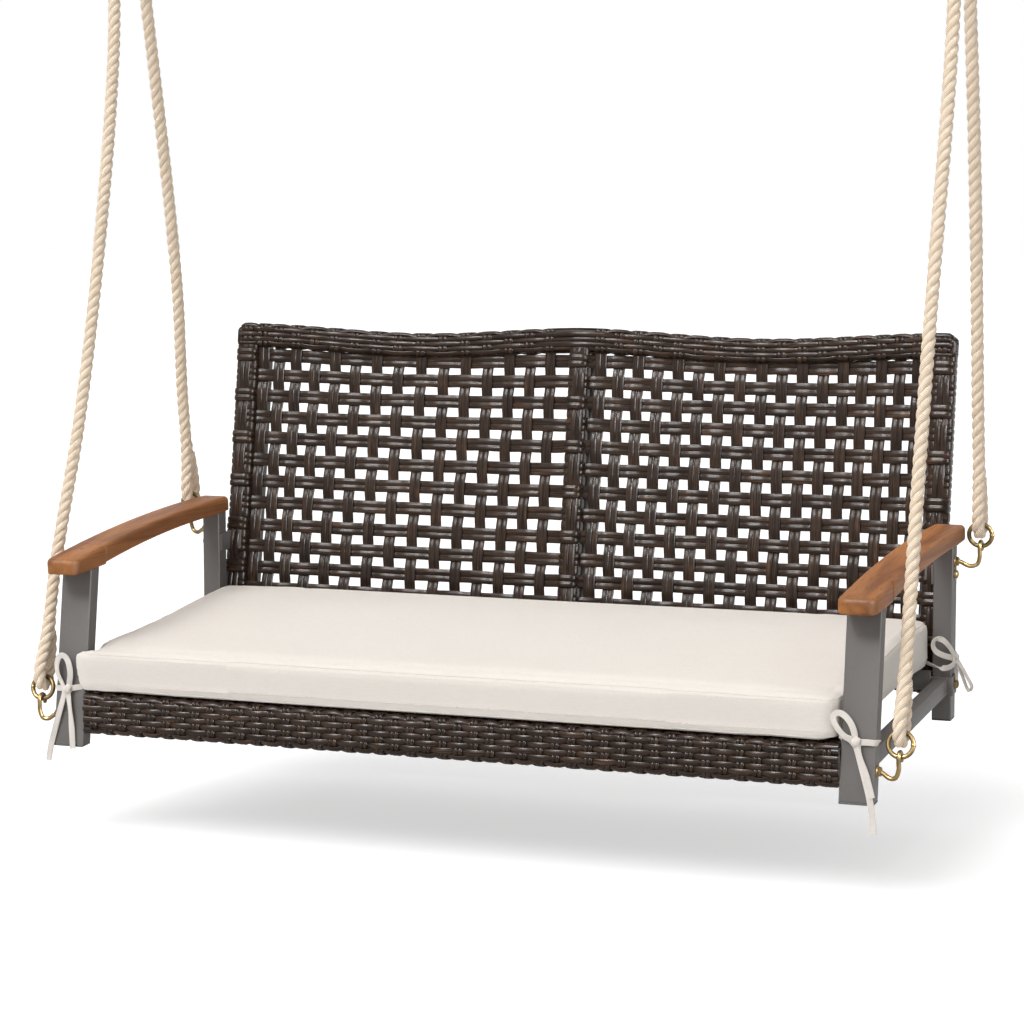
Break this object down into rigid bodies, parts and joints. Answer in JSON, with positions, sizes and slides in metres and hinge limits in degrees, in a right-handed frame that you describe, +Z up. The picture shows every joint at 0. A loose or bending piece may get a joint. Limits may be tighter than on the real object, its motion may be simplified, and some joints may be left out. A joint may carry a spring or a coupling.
{
  "type": "hanging swing seat",
  "caption": "Hanging porch swing seat with a hollowed basket-weave back, a box cushion, wooden armrests and splayed ropes that hook onto its legs and hang from ceiling rings.",
  "frame": {"origin": "on the ceiling plane, midway between the two ceiling hangers", "axes": "+Z up out of the ceiling plates, +Y towards the back of the seat, +X to the right in the picture"},
  "size_m": [1.4, 0.6619, 1.474],
  "materials": {
    "frame": "satin powder coat",
    "wicker": "ribbed resin wicker",
    "armrest_wood": "oiled",
    "cushion_cloth": "plain weave",
    "rope": "three-strand laid",
    "aged_brass": "aged",
    "foot_plug": "matt"
  },
  "bodies": {
    "ceiling_hangers": {"hanger_plates": "aged_brass", "hanger_staples": "aged_brass"},
    "top_rings": {"top_rings": "aged_brass"},
    "left_ropes": {"left_front_rope": "rope", "left_rear_rope": "rope", "left_rope_rings": "aged_brass"},
    "right_ropes": {"right_front_rope": "rope", "right_rear_rope": "rope", "right_rope_rings": "aged_brass"},
    "seat": {"left_front_leg": "frame", "right_front_leg": "frame", "left_rear_leg": "frame", "right_rear_leg": "frame", "left_side_rail": "frame", "right_side_rail": "frame", "left_rail_bracket": "frame", "right_rail_bracket": "frame", "front_rail": "frame", "rear_rail": "frame", "seat_cross_bars": "frame", "back_stiles": "frame", "back_posts": "frame", "left_back_bracket": "frame", "right_back_bracket": "frame", "front_apron_weave": "wicker", "seat_deck_weave": "wicker", "back_left_border": "wicker", "back_right_border": "wicker", "back_centre_column": "wicker", "back_left_top_border": "wicker", "back_right_top_border": "wicker", "back_low_borders": "wicker", "back_stakes": "wicker", "back_weavers": "wicker", "armrest_tips": "armrest_wood", "left_armrest_plank": "armrest_wood", "right_armrest_plank": "armrest_wood", "seat_cushion": "cushion_cloth", "front_ties": "cushion_cloth", "rear_ties": "cushion_cloth", "rope_hooks": "aged_brass", "foot_plugs": "foot_plug"}
  },
  "joints": [
    {"name": "swing", "type": "hinge", "parent": "ceiling_hangers", "child": "top_rings", "pos_m": [0, 0, -0.035], "axis": [1, 0, 0], "range_deg": [-25, 25]},
    {"name": "left_sway", "type": "hinge", "parent": "top_rings", "child": "left_ropes", "pos_m": [-0.671, 0, -0.07461], "axis": [0, 0.9059, 0.4234], "range_deg": [-3, 3]},
    {"name": "right_sway", "type": "hinge", "parent": "top_rings", "child": "right_ropes", "pos_m": [0.671, 0, -0.07461], "axis": [0, 0.9059, 0.4234], "range_deg": [-3, 3]},
    {"name": "seat_level", "type": "hinge", "parent": "left_ropes", "child": "seat", "pos_m": [-0.671, -0.30279, -1.38824], "axis": [0, 0.9059, 0.4234], "range_deg": [-3, 3]}
  ],
  "couplings": [
    {"joint": "right_sway", "follows": "left_sway", "ratio": 1},
    {"joint": "seat_level", "follows": "left_sway", "ratio": -1}
  ]
}
